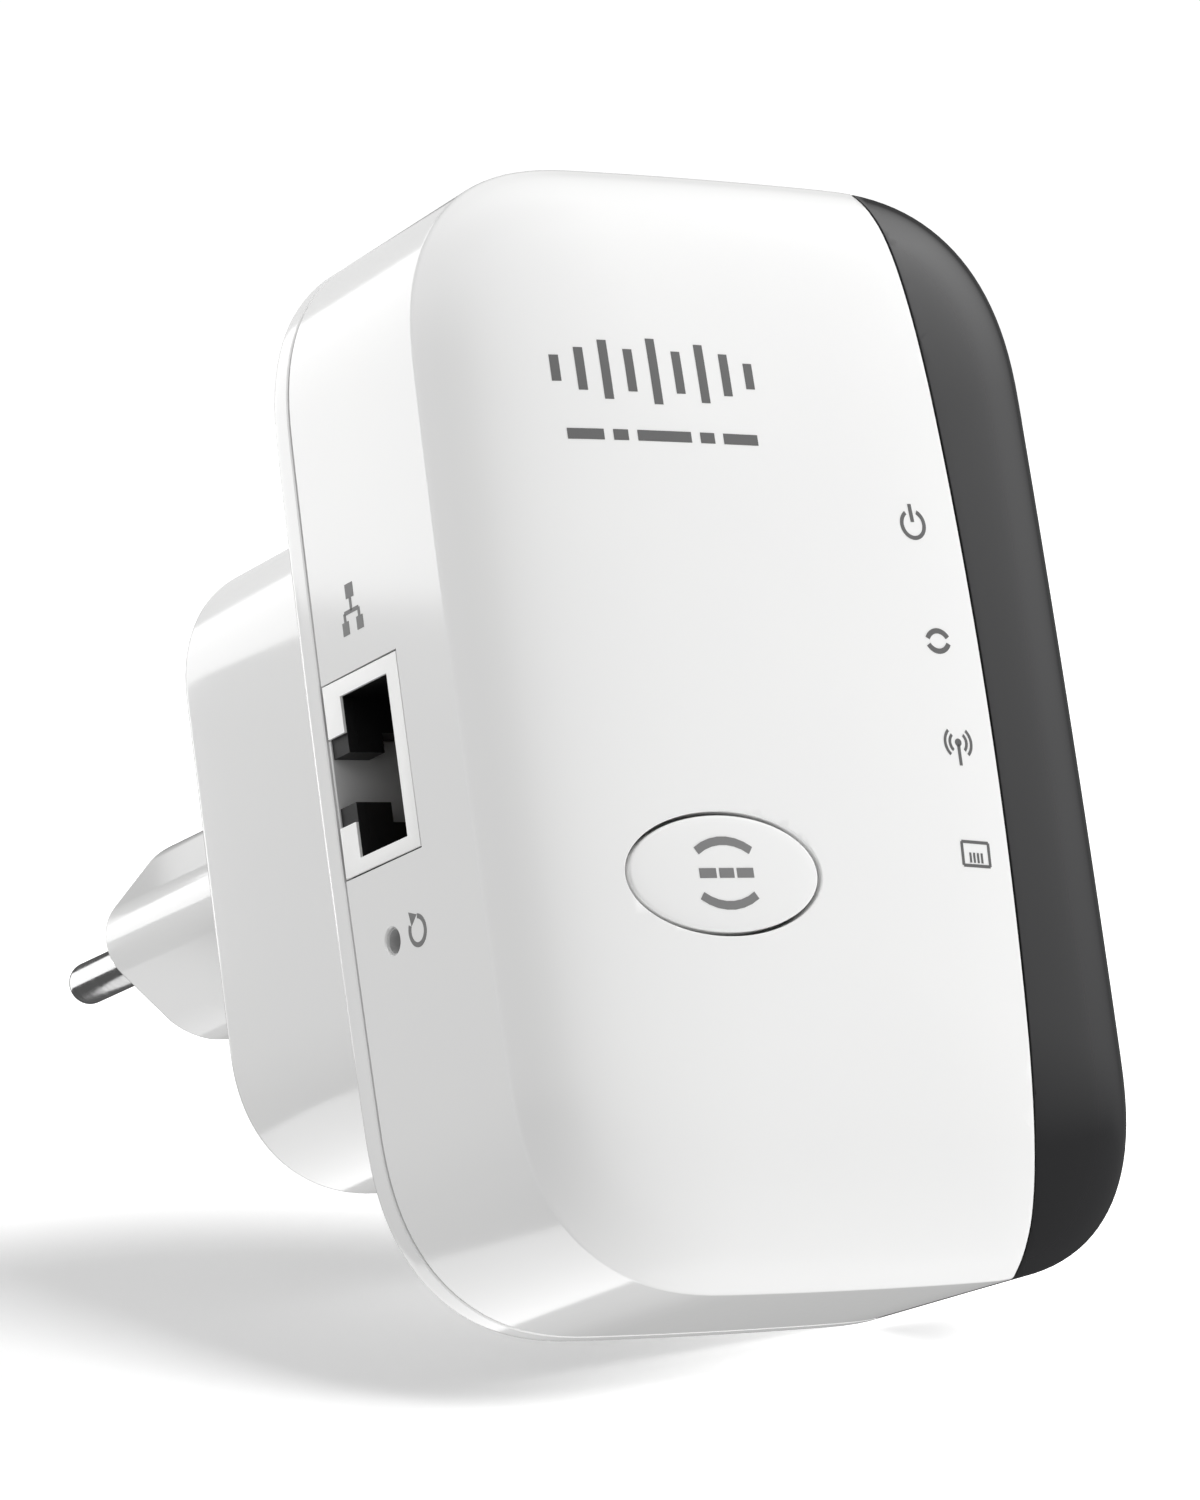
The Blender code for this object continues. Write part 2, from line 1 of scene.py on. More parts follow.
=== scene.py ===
"""Wall-plug wireless range extender: shells, plug, controls, prints, finishes, stage and lights.

Figures are layout millimetres, as in the part's drawing: x to the right seen from the front,
y towards the wall from the crisp front edge, z up. at() turns them into the object's frame.
"""
import json
from math import atan2, cos, pi, radians, sin, tau

import bmesh
import bpy
from mathutils import Matrix, Vector
from mathutils.bvhtree import BVHTree


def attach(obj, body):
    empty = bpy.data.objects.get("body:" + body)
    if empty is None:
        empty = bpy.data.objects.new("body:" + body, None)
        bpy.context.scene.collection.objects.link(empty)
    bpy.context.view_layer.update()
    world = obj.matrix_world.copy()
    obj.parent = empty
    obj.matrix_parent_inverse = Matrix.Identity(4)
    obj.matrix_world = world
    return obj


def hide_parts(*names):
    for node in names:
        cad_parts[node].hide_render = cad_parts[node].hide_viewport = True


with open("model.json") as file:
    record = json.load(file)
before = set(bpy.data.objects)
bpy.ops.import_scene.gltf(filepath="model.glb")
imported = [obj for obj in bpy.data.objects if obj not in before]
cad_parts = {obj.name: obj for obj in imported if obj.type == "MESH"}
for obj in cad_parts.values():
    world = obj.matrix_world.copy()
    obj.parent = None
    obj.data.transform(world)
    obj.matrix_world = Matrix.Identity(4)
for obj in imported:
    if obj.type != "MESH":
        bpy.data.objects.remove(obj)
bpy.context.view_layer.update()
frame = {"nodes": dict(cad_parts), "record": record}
scene = bpy.context.scene
scene.view_settings.view_transform = "Standard"

MM = 0.001
PLUG_FACE_Y = 82.2        # layout y of the plug's end face, the object's origin
PLUG_Z = 0.9


def at(x, y, z):
    """Layout millimetres to the object's frame in metres."""
    return Vector((x, y - PLUG_FACE_Y, z - PLUG_Z)) * MM


# ------------------------------------------------------------------ camera
LOOK_RIGHT = Vector((0.8264, -0.54692, -0.13393))
LOOK_UP = Vector((-0.01028, -0.25246, 0.96755))
LOOK_BACK = Vector((-0.56299, -0.79821, -0.21426))
camera_data = bpy.data.cameras.new("camera")
camera_data.lens = 142.75
camera_data.sensor_width = 36.0
camera_data.clip_start = 0.01
camera_data.clip_end = 20.0
camera = bpy.data.objects.new("camera", camera_data)
turn = Matrix((LOOK_RIGHT, LOOK_UP, LOOK_BACK)).transposed().to_4x4()
camera.matrix_world = Matrix.Translation(at(-284.87, -378.58, -104.12)) @ turn
scene.collection.objects.link(camera)
scene.camera = camera


# ------------------------------------------------------------------ finishes
def linear(code):
    """An sRGB hex colour as linear RGBA."""
    out = []
    for k in (1, 3, 5):
        c = int(code[k:k + 2], 16) / 255
        out.append(c / 12.92 if c <= 0.04045 else ((c + 0.055) / 1.055) ** 2.4)
    return (*out, 1.0)


def add(tree, kind, inputs=None, **settings):
    """Add a node; an input is a value, or a (node, output name) pair to link."""
    node = tree.nodes.new(kind)
    for key, value in settings.items():
        setattr(node, key, value)
    for key, value in (inputs or {}).items():
        if isinstance(value, tuple) and isinstance(value[0], bpy.types.Node):
            tree.links.new(value[0].outputs[value[1]], node.inputs[key])
        else:
            node.inputs[key].default_value = value
    return node


DRIFT_MM = 18.0           # size of the slow change of tone over a piece


def finish(name, light, dark, rough, grain_mm, bump_um=2.0, stretch=(1, 1, 1), rough_to=None,
           **sockets):
    """A moulded, plated or cast finish: two close tones that drift, two roughnesses in a grain.

    grain_mm is the size of the grain and bump_um its height; stretch makes it run one way.
    """
    mat = bpy.data.materials.new(name)
    mat.use_nodes = True
    tree = mat.node_tree
    shader = tree.nodes["Principled BSDF"]
    for key, value in sockets.items():
        shader.inputs[key.replace("_", " ")].default_value = value
    coords = add(tree, "ShaderNodeTexCoord")
    mapping = add(tree, "ShaderNodeMapping", {"Vector": (coords, "Object"), "Scale": stretch})
    grain = add(tree, "ShaderNodeTexNoise", {"Vector": (mapping, "Vector"), "Detail": 3.0,
                                             "Scale": 1000.0 / grain_mm, "Roughness": 0.55})
    drift = add(tree, "ShaderNodeTexNoise", {"Vector": (coords, "Object"), "Detail": 2.0,
                                             "Scale": 1000.0 / DRIFT_MM})
    tone = add(tree, "ShaderNodeMix", {0: (drift, "Fac"), 6: linear(light),
                                       7: linear(dark)}, data_type="RGBA")
    gloss = add(tree, "ShaderNodeMapRange", {"Value": (grain, "Fac"), "From Min": 0.3,
                                             "From Max": 0.7, "To Min": rough,
                                             "To Max": rough_to or rough * 1.25})
    bump = add(tree, "ShaderNodeBump", {"Height": (grain, "Fac"), "Strength": 1.0,
                                        "Distance": bump_um * 1e-6})
    for key, source, output in (("Base Color", tone, 2), ("Roughness", gloss, "Result"),
                                ("Normal", bump, "Normal")):
        tree.links.new(source.outputs[output], shader.inputs[key])
    return mat


# High-gloss moulded ABS: reads as near-white china, with sharp soft-box edges and only a
# breath of orange peel; the tool's polish leaves the gloss a little uneven.
WHITE = finish("moulded_abs_gloss_white", "#F1F1F0", "#EEEEEE", 0.11, 0.7, 0.25,
               rough_to=0.135, IOR=1.54)
# Smoke-black cast acrylic strip: deep neutral grey under a hard clear gloss.
SMOKE = finish("cast_acrylic_smoke_gloss", "#2B2B2C", "#262627", 0.1, 0.9, 0.25,
               rough_to=0.13, IOR=1.49)
# Nylon jack collar, straight from a spark-eroded tool: flat, brighter than the case.
NYLON = finish("moulded_nylon_matt_white", "#FBFBFA", "#F7F7F6", 0.5, 0.12, 3.0, IOR=1.53)
# The same nylon in grey, used as painted shade: it darkens the back of the latch slot, the reset
# pinhole's sleeve and the reset plunger, where shade falls.
SHADE_GREY = finish("moulded_nylon_grey_painted_shade", "#C4C4C4", "#BCBCBC", 0.5, 0.12, 3.0, IOR=1.53)
# Carbon-filled nylon inside the jack: nearly black, dull, with a fine eroded texture.
BLACK = finish("moulded_nylon_matt_black", "#111112", "#0B0B0C", 0.42, 0.12, 4.0, IOR=1.53)
# Nickel-plated turned brass pins: mirror metal with hair-fine rings left by the lathe.
NICKEL = finish("turned_brass_nickel_plated", "#E6E6E6", "#DEDEDE", 0.1, 0.5, 1.2,
                stretch=(0.06, 1, 0.06), rough_to=0.2, Metallic=1.0)
# Pad-printed ink: flat warm grey, thinner where the pad lifted off.
INK = finish("pad_printed_ink_grey", "#575757", "#636363", 0.42, 0.25, 2.5, IOR=1.5)
INK_SOFT = finish("pad_printed_ink_light_grey", "#747474", "#7E7E7E", 0.42, 0.25, 2.5, IOR=1.5)

# Finishes of the parts inside the case, by the record's slot names.
INSIDE = {
    "white_abs": WHITE, "white_nylon": NYLON, "charcoal_acrylic": SMOKE,
    "nickel_plate": NICKEL, "black_nylon": BLACK,
    # Gold flash over nickel on stamped bronze: warm satin metal with rolling lines.
    "gold_plate": finish("stamped_bronze_gold_plated", "#E9BE6A", "#D9A953", 0.22, 0.3, 1.5,
                         stretch=(0.1, 1, 1), Metallic=1.0),
    # Glass-epoxy laminate under green solder mask: glossy, with the weave just showing.
    "board_laminate": finish("glass_epoxy_green_mask", "#1E5B36", "#174A2B", 0.28, 0.6, 6.0,
                             IOR=1.52),
    # Paper-phenolic power board: tan, dull, with a papery mottle.
    "board_phenolic": finish("paper_phenolic_board", "#B08A52", "#9A7440", 0.55, 0.35, 8.0),
    # Bright-dipped tin plate: pale metal with soft spangle.
    "tinned_steel": finish("hot_dipped_tin_plate", "#D3D5D6", "#BFC2C4", 0.25, 2.2, 3.0,
                           Metallic=1.0),
    # Zinc-plated steel screws and plungers: bluish-white barrel-plated metal.
    "zinc_steel": finish("zinc_plated_steel", "#C3C7CC", "#AEB4BA", 0.28, 0.2, 3.0,
                         Metallic=1.0),
    # Transfer-moulded epoxy chips: charcoal with a fine matt skin.
    "chip_epoxy": finish("transfer_moulded_epoxy", "#232325", "#1B1B1D", 0.55, 0.08, 4.0),
    # Clear polycarbonate light guide: water-clear with a slight moulding ripple.
    "clear_polycarbonate": finish("moulded_polycarbonate_clear", "#F2F6F6", "#EAF0F0", 0.06,
                                  1.5, 0.6, IOR=1.585, Transmission_Weight=0.85),
    # Cast lamp resin: pale amber and waxy.
    "lamp_resin": finish("cast_lamp_resin", "#F4EFC4", "#E9E2AE", 0.2, 0.4, 1.0,
                         Transmission_Weight=0.2),
    # Sintered ferrite: dark grey, stony and dull.
    "ferrite": finish("sintered_ferrite", "#3A3A3C", "#2B2B2D", 0.65, 0.15, 12.0),
    # Polyester coil tape: yellow film, slightly glossy, wrapped in ridges.
    "coil_tape": finish("polyester_coil_tape", "#E0C23C", "#CBAA2A", 0.32, 1.2, 20.0,
                        stretch=(0.2, 0.2, 1)),
    # Shrunk vinyl capacitor sleeve: dark blue, satin.
    "capacitor_sleeve": finish("shrunk_vinyl_sleeve", "#1D2E5C", "#172548", 0.3, 0.5, 3.0),
    # Glazed ceramic fuse body: grey-blue enamel with a grainy skin.
    "fuse_ceramic": finish("coated_ceramic_fuse", "#7D9EA6", "#6B8B93", 0.45, 0.2, 8.0),
    # Extruded vinyl wire jackets: satin with faint lines along the wire.
    "wire_brown": finish("extruded_vinyl_brown", "#5B3423", "#4A2A1C", 0.38, 0.4, 5.0),
    "wire_blue": finish("extruded_vinyl_blue", "#2456A6", "#1D478C", 0.38, 0.4, 5.0),
    "wire_grey": finish("extruded_vinyl_grey", "#8D9094", "#7D8084", 0.38, 0.4, 5.0),
}
slot_of = {part["node"]: part["material_slot"] for part in frame["record"]["subparts"]}


# ------------------------------------------------------------------ mesh helpers
SHARP = radians(35.0)     # edges that turn more than this stay crisp


def piece(name, bm, mat, body="case", smooth=True):
    """Turn a bmesh into a finished piece that rides on a body."""
    mesh = bpy.data.meshes.new(name)
    bm.to_mesh(mesh)
    bm.free()
    obj = bpy.data.objects.new(name, mesh)
    scene.collection.objects.link(obj)
    mesh.materials.append(mat)
    if smooth:
        mesh.shade_smooth()
        mesh.set_sharp_from_angle(angle=SHARP)
    if body:
        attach(obj, body)
    return obj


def skin(rings, close_first=True):
    """Extrude a loop of edges from one ring of points to the next, then close the ends."""
    bm = bmesh.new()
    verts = [bm.verts.new(p) for p in rings[0]]
    first = [bm.edges.new((verts[k - 1], verts[k])) for k in range(len(verts))]
    loop = first
    for before, after in zip(rings, rings[1:]):
        index = {tuple(p): k for k, p in enumerate(before)}
        grown = bmesh.ops.extrude_edge_only(bm, edges=loop)["geom"]
        fresh = {v for v in grown if isinstance(v, bmesh.types.BMVert)}
        loop = [e for e in grown if isinstance(e, bmesh.types.BMEdge)
                and all(v in fresh for v in e.verts)]
        for v in fresh:
            v.co = after[index[tuple(v.co)]]
    bmesh.ops.contextual_create(bm, geom=loop)
    if close_first:
        bmesh.ops.contextual_create(bm, geom=first)
    bmesh.ops.recalc_face_normals(bm, faces=bm.faces)
    return bm


def soft_curve(points, steps):
    """A smooth curve through (a, b) points, as a finer list."""
    out = []
    for k in range(len(points) - 1):
        p0 = points[max(k - 1, 0)]
        p1, p2 = points[k], points[k + 1]
        p3 = points[min(k + 2, len(points) - 1)]
        for j in range(steps):
            t = j / steps
            out.append(tuple(0.5 * (2 * b + (c - a) * t + (2 * a - 5 * b + 4 * c - d) * t * t
                                    + (3 * b - a - 3 * c + d) * t ** 3)
                             for a, b, c, d in zip(p0, p1, p2, p3)))
    out.append(points[-1])
    return out


HALF_W, HALF_H = 30.18, 46.2      # corners' half size, before the sides' bow
CORNER_R, CORNER_POWER, BOW = 18.0, 2.6, 0.0215
CORNER_STEPS, SIDE_STEPS = 26, (14, 24)
BOSS_HALF, BOSS_CORNER_R, BOSS_POWER = (23.2, 28.3), 13.0, 2.3


def outline(half_w, half_h, radius, power=CORNER_POWER, bow=BOW):
    """Rounded rectangle with soft corners and slightly bulged sides, as (x, z) points."""
    flat = []
    for k, (sx, sz) in enumerate(((1, 1), (-1, 1), (-1, -1), (1, -1))):
        mx, mz = sx * (half_w - radius), sz * (half_h - radius)
        for j in range(CORNER_STEPS + 1):
            a = 0.5 * pi * (k + j / CORNER_STEPS)
            c, s = round(cos(a), 9), round(sin(a), 9)
            flat.append((mx + radius * abs(c) ** (2 / power) * (1 if c >= 0 else -1),
                         mz + radius * abs(s) ** (2 / power) * (1 if s >= 0 else -1)))
        px, pz = flat[-1]
        qx, qz = (-px, pz) if k % 2 == 0 else (px, -pz)
        count = SIDE_STEPS[k % 2]
        flat += [(px + (qx - px) * j / count, pz + (qz - pz) * j / count)
                 for j in range(1, count)]
    return [(x * (1 + bow * (1 - (z / half_h) ** 2)),
             z * (1 + bow * (half_w / half_h) * (1 - (x / half_w) ** 2))) for x, z in flat]


def body_ring(inset, y):
    """The case's outline at depth y, drawn in by inset."""
    radius = max(CORNER_R - 0.75 * inset, 0.35 * (HALF_W - inset))
    return [at(x, y, z) for x, z in outline(HALF_W - inset, HALF_H - inset, radius)]


def boss_ring(inset, y):
    """The plug block's outline at depth y, drawn in by inset."""
    points = outline(BOSS_HALF[0] - inset, BOSS_HALF[1] - inset, BOSS_CORNER_R - 0.8 * inset,
                     BOSS_POWER, 0.0)
    return [at(x, y, z) for x, z in points]


def carve(obj, cutter):
    """Cut a shape out of a piece, leaving no trace of the cutter."""
    cutter_obj = bpy.data.objects.new("cutter", bpy.data.meshes.new("cutter"))
    cutter.to_mesh(cutter_obj.data)
    cutter.free()
    cutter_obj.data.shade_smooth()
    scene.collection.objects.link(cutter_obj)
    mod = obj.modifiers.new("carve", "BOOLEAN")
    mod.object = cutter_obj
    mod.solver = "MANIFOLD"
    bake(obj)
    bpy.data.objects.remove(cutter_obj, do_unlink=True)


def bake(obj):
    """Apply a piece's modifiers to its mesh."""
    bpy.context.view_layer.update()
    graph = bpy.context.evaluated_depsgraph_get()
    mesh = bpy.data.meshes.new_from_object(obj.evaluated_get(graph))
    obj.modifiers.clear()
    obj.data = mesh
    mesh.shade_smooth()
    mesh.set_sharp_from_angle(angle=SHARP)


def even_shading(obj):
    """Let the large faces set the shading, so fine edge breaks don't smear it."""
    mod = obj.modifiers.new("even_shading", "WEIGHTED_NORMAL")
    mod.keep_sharp = True
    mod.weight = 60


# ------------------------------------------------------------------ front shell and side strip
SEAM_Y, REAR_Y, SEAM_GAP = 19.8, 22.8, 0.3
TRIM_X, TRIM_SAG, TRIM_GAP = 18.8, 3.0, 0.2
# (inset, y) pairs from the crisp edge to the middle of the front, and back out inside.
DOME = [(0.0, 0.35), (0.04, 0.12), (0.16, -0.1), (0.42, -0.38), (1.2, -1.15), (2.4, -2.0),
        (4.2, -2.85), (7.0, -3.55), (11.0, -4.05), (16.0, -4.35), (21.0, -4.48), (25.5, -4.53),
        (28.6, -4.54)]
DOME_INSIDE = [(16.2, -2.36), (11.3, -2.07), (7.6, -1.6), (5.0, -0.95), (3.6, -0.25),
               (2.6, 0.6), (2.0, 1.0)]


def front_form(hollow=True):
    """The front moulding before its cuts: inside rings first, then the rim, then outside."""
    rings = []
    if hollow:
        rings = [body_ring(inset, y) for inset, y in DOME_INSIDE]
        rings += [body_ring(2.0, SEAM_Y - 0.1), body_ring(1.9, SEAM_Y), body_ring(0.27, SEAM_Y)]
    rings += [body_ring(0.15, SEAM_Y - 0.12), body_ring(0.1, 13.0), body_ring(0.05, 6.5)]
    rings += [body_ring(inset, y) for inset, y in soft_curve(DOME, 3)]
    return skin(rings, close_first=hollow)


dome = front_form(hollow=False)
dome_tree = BVHTree.FromBMesh(dome)


def front_y(x, z):
    """Layout y of the front surface at (x, z)."""
    hit = dome_tree.ray_cast(at(x, -30, z), Vector((0, 1, 0)))[0]
    return hit.y / MM + PLUG_FACE_Y


def side_x(y, z):
    """Layout x of the left wall's surface at (y, z)."""
    hit = dome_tree.ray_cast(at(-60, y, z), Vector((1, 0, 0)))[0]
    return hit.x / MM


def split_at_strip(bm, keep_left, shift):
    """Cut the moulding along the curved white-to-dark line, and keep one side of it.

    The moulding is bent until the line is straight, cut, closed and eased, then bent back.
    """
    def bend(sign):
        for v in bm.verts:
            z = v.co.z / MM + PLUG_Z
            v.co.x += sign * TRIM_SAG * (z / HALF_H) ** 2 * MM
    bend(1)
    cut = bmesh.ops.bisect_plane(bm, geom=bm.verts[:] + bm.edges[:] + bm.faces[:],
                                 dist=0.06 * MM, use_snap_center=True,
                                 plane_co=at(TRIM_X + shift, 0, 0), plane_no=(1, 0, 0),
                                 clear_outer=keep_left, clear_inner=not keep_left)
    rim = [e for e in cut["geom_cut"] if isinstance(e, bmesh.types.BMEdge)]
    bmesh.ops.contextual_create(bm, geom=rim)
    bmesh.ops.recalc_face_normals(bm, faces=bm.faces)
    bmesh.ops.bevel(bm, geom=[e for e in rim if e.is_valid], offset=0.12 * MM, segments=2,
                    affect="EDGES", profile=0.5, material=-1)
    bend(-1)
    return bm


def block(x, y, z, round_mm=0.0):
    """A box from three (low, high) pairs, with its edges rounded."""
    bm = bmesh.new()
    bmesh.ops.create_cube(bm, size=1.0)
    low, high = at(x[0], y[0], z[0]), at(x[1], y[1], z[1])
    bmesh.ops.scale(bm, vec=high - low, verts=bm.verts)
    bmesh.ops.translate(bm, vec=(low + high) / 2, verts=bm.verts)
    if round_mm:
        bmesh.ops.bevel(bm, geom=bm.edges[:], offset=round_mm * MM, segments=2,
                        affect="EDGES", profile=0.5, material=-1)
    return bm


JACK_Y, JACK_Z = (7.85, SEAM_Y), (-8.55, 7.81)
BUTTON, BUTTON_HALF = (-10.5, -13.7), (9.05, 4.8)
RESET, RESET_R = (14.0, -14.8), 1.12

front_shell = piece("front_shell", split_at_strip(front_form(), True, 0.0), WHITE)
carve(front_shell, block((-40, -26), (JACK_Y[0], JACK_Y[1] + 5), JACK_Z))


def oval(half_x, half_z, steps=96):
    """Points of an oval about the button's middle."""
    return [(BUTTON[0] + half_x * cos(tau * k / steps), BUTTON[1] + half_z * sin(tau * k / steps))
            for k in range(steps)]


def oval_ring(grow, rise):
    """An oval loop that follows the front surface, rise millimetres above it."""
    return [at(x, front_y(x, z) - rise, z)
            for x, z in oval(BUTTON_HALF[0] + grow, BUTTON_HALF[1] + grow)]


def oval_flat(grow, y):
    """A level oval loop at depth y."""
    return [at(x, y, z) for x, z in oval(BUTTON_HALF[0] + grow, BUTTON_HALF[1] + grow)]


BUTTON_GAP = 0.3
# (outwards, up) pairs that round the rim of the button's hole.
EASE = [(0.30, 0.25), (0.14, 0.0), (0.07, -0.03), (0.02, -0.09), (0.0, -0.2)]
carve(front_shell, skin([oval_ring(BUTTON_GAP + grow, rise) for grow, rise in EASE]
                        + [oval_flat(BUTTON_GAP, 1.0)]))


def spun(profile, axis, origin, steps=48):
    """Spin a (radius, along) profile in millimetres round an axis from an origin."""
    bm = bmesh.new()
    verts = [bm.verts.new((r * MM, 0, t * MM)) for r, t in profile]
    edges = [bm.edges.new(pair) for pair in zip(verts, verts[1:])]
    bmesh.ops.spin(bm, geom=verts + edges, cent=(0, 0, 0), axis=(0, 0, 1), angle=tau,
                   steps=steps, use_merge=True)
    bmesh.ops.remove_doubles(bm, verts=bm.verts, dist=0.002 * MM)
    spin = Matrix.Rotation(pi / 2, 4, "Y") if axis == "X" else Matrix.Rotation(-pi / 2, 4, "X")
    bmesh.ops.transform(bm, matrix=Matrix.Translation(origin) @ spin, verts=bm.verts)
    bmesh.ops.recalc_face_normals(bm, faces=bm.faces)
    return bm


reset_mouth = at(side_x(*RESET), *RESET)
carve(front_shell, spun([(0, -0.5), (RESET_R + 0.45, -0.5), (RESET_R, 0.13), (RESET_R, 4.0),
                         (0, 4.0)], "X", reset_mouth))
even_shading(front_shell)
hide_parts("front_cover")

# A grey sleeve lining the reset pinhole: painted shade that darkens the hole's walls.
SLEEVE_R, SLEEVE_BORE = 1.1, 0.98
reset_shade_sleeve = piece("reset_shade_sleeve", spun([(0, 0.3), (SLEEVE_R, 0.3), (SLEEVE_R, 2.0), (0, 2.0)],
                                        "X", reset_mouth), SHADE_GREY)
carve(reset_shade_sleeve, spun([(0, 0), (SLEEVE_BORE, 0), (SLEEVE_BORE, 3.0), (0, 3.0)], "X",
                        reset_mouth))

side_strip = piece("side_strip", split_at_strip(front_form(), False, TRIM_GAP), SMOKE)
even_shading(side_strip)
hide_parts("side_trim")


# ------------------------------------------------------------------ rear shell
def quarter(inset, y, radius, steps):
    """Rings that round an edge inwards: (inset, y) pairs along a quarter circle."""
    turns = [0.5 * pi * k / steps for k in range(steps + 1)]
    return [(inset + radius * (1 - cos(a)), y - radius * (1 - sin(a))) for a in turns]


rear_y = SEAM_Y + SEAM_GAP
BOSS_Y = 54.0             # the plug block's end face
# Inside first, from the block's hollow to the rim at the seam, then the outside back again.
rear_rings = [boss_ring(2.2, BOSS_Y - 2.2), boss_ring(2.2, 38.0), boss_ring(2.2, REAR_Y - 1.8),
              body_ring(2.4, REAR_Y - 1.8), body_ring(2.4, rear_y + 0.1),
              body_ring(2.3, rear_y), body_ring(0.25, rear_y), body_ring(0.15, rear_y + 0.1),
              body_ring(0.15, rear_y + 1.0)]
rear_rings += [body_ring(i, y) for i, y in quarter(0.15, REAR_Y, 0.95, 5)]
rear_rings += [body_ring(2.0, REAR_Y), boss_ring(-0.8, REAR_Y)]
rear_rings += [boss_ring(i, y) for i, y in ((-0.45, REAR_Y), (-0.2, REAR_Y + 0.08),
                                            (-0.06, REAR_Y + 0.22), (0, REAR_Y + 0.5))]
rear_rings += [boss_ring(0, y) for y in (30.0, 38.0, 46.0)]
rear_rings += [boss_ring(i, y) for i, y in quarter(0.0, BOSS_Y, 1.1, 6)]
rear_rings += [boss_ring(2.4, BOSS_Y)]
rear_shell = piece("rear_shell", skin(rear_rings), WHITE)

NOSE_HALF, NOSE_POINT_R, NOSE_EDGE_R = (19.4, 9.4), 4.4, 2.9


def nose(grow, y0, y1, end_round=0.0):
    """The six-sided plug nose along y: one face, extruded, its long edges rounded."""
    a, b = NOSE_HALF[0] + grow, NOSE_HALF[1] + grow
    flat = [(a, 0), (a - b, b), (b - a, b), (-a, 0), (b - a, -b), (a - b, -b)]
    bm = bmesh.new()
    face = bm.faces.new([bm.verts.new(at(x, y0, z + PLUG_Z)) for x, z in flat])
    grown = bmesh.ops.extrude_face_region(bm, geom=[face])
    bmesh.ops.translate(bm, vec=(0, (y1 - y0) * MM, 0),
                        verts=[v for v in grown["geom"] if isinstance(v, bmesh.types.BMVert)])
    bmesh.ops.recalc_face_normals(bm, faces=bm.faces)
    along = [e for e in bm.edges if abs(e.verts[0].co.y - e.verts[1].co.y) > 1e-5]
    points = [e for e in along if abs(e.verts[0].co.x) > (a - 1) * MM]
    shoulders = [e for e in along if e not in points]
    bmesh.ops.bevel(bm, geom=points, offset=(NOSE_POINT_R + grow) * MM, segments=16,
                    affect="EDGES", profile=0.5, material=-1)
    shoulders = [e for e in shoulders if e.is_valid]
    bmesh.ops.bevel(bm, geom=shoulders, offset=(NOSE_EDGE_R + 0.4 * grow) * MM, segments=12,
                    affect="EDGES", profile=0.5, material=-1)
    if end_round:
        face_y = at(0, y1, 0).y
        rim = [e for e in bm.edges if all(abs(v.co.y - face_y) < 1e-6 for v in e.verts)]
        bmesh.ops.bevel(bm, geom=rim, offset=end_round * MM, segments=4, affect="EDGES",
                        profile=0.5, material=-1)
    return bm


carve(rear_shell, nose(0.25, BOSS_Y - 6, BOSS_Y + 3))
even_shading(rear_shell)
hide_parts("rear_cover")

plug_nose = piece("plug_nose", nose(0.0, BOSS_Y - 4, PLUG_FACE_Y, 0.7), WHITE)
PIN_X, PIN_R, PIN_LENGTH, TIP_LENGTH = 9.5, 2.0, 19.0, 1.7
for side, sign in (("left", -1), ("right", 1)):
    foot = at(sign * PIN_X, PLUG_FACE_Y, PLUG_Z)
    carve(plug_nose, spun([(0, -3.0), (PIN_R + 0.3, -3.0), (PIN_R + 0.3, 1.0), (0, 1.0)],
                          "Y", foot))
    piece("pin_collar_" + side, spun(
        [(PIN_R + 0.28, -1.2), (PIN_R + 0.95, -1.2), (PIN_R + 0.95, 0.35),
         (PIN_R + 0.88, 0.53), (PIN_R + 0.72, 0.6), (PIN_R + 0.42, 0.6),
         (PIN_R + 0.31, 0.54), (PIN_R + 0.28, 0.4), (PIN_R + 0.28, -1.2)], "Y", foot),
        WHITE)
    tip = [(PIN_R * cos(a), PIN_LENGTH - TIP_LENGTH + TIP_LENGTH * sin(a))
           for a in (radians(t) for t in range(0, 91, 9))]
    pin = piece("pin_" + side + "_turned", spun(
        [(0, -6.0), (PIN_R - 0.5, -6.0), (PIN_R - 0.5, -2.6), (PIN_R, -2.6), (PIN_R, 4.0),
         (PIN_R, 10.0)] + [(max(r, 0), t) for r, t in tip], "Y", foot, 64), NICKEL)
    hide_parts("pin_" + side)
even_shading(plug_nose)
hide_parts("plug_housing")


# ------------------------------------------------------------------ push button
# (outwards, up) pairs round the cap's edge, then a low crown that closes in to the middle.
CAP_EDGE, CAP_CROWN, CAP_RINGS = 0.3, 0.1, 9
CAP = [(-CAP_EDGE, -0.012), (-0.18, -0.03), (-0.08, -0.08), (-0.02, -0.17), (0.0, -0.3)]
cap_rings = [oval_flat(0.9, 0.8), oval_flat(0.9, -0.8), oval_flat(0.02, -0.9)]
cap_rings += [oval_ring(grow, rise) for grow, rise in reversed(CAP)]
CROWN_HALF = [half - CAP_EDGE for half in BUTTON_HALF]


def crown(share):
    """Height of the cap's crown at a share of the way in from its edge."""
    return CAP_CROWN * (1 - (1 - share) ** 2)


for k in range(1, CAP_RINGS):
    share = k / CAP_RINGS
    cap_rings.append([at(x, front_y(x, z) - crown(share), z)
                      for x, z in oval(*(half * (1 - share) for half in CROWN_HALF))])
cap = piece("button_cap", skin(cap_rings), WHITE, "button")
even_shading(cap)
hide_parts("wps_button")


# ------------------------------------------------------------------ network jack
FACE_X = -30.75
MOUTH_Y, MOUTH_Z = (9.7, 16.95), (-7.19, 6.27)
LATCH_Z, STOP_Z = (-4.21, 3.26), (-2.55, 1.6)
FACE_Y, FACE_Z = (8.0, 19.5), (-8.4, 7.66)

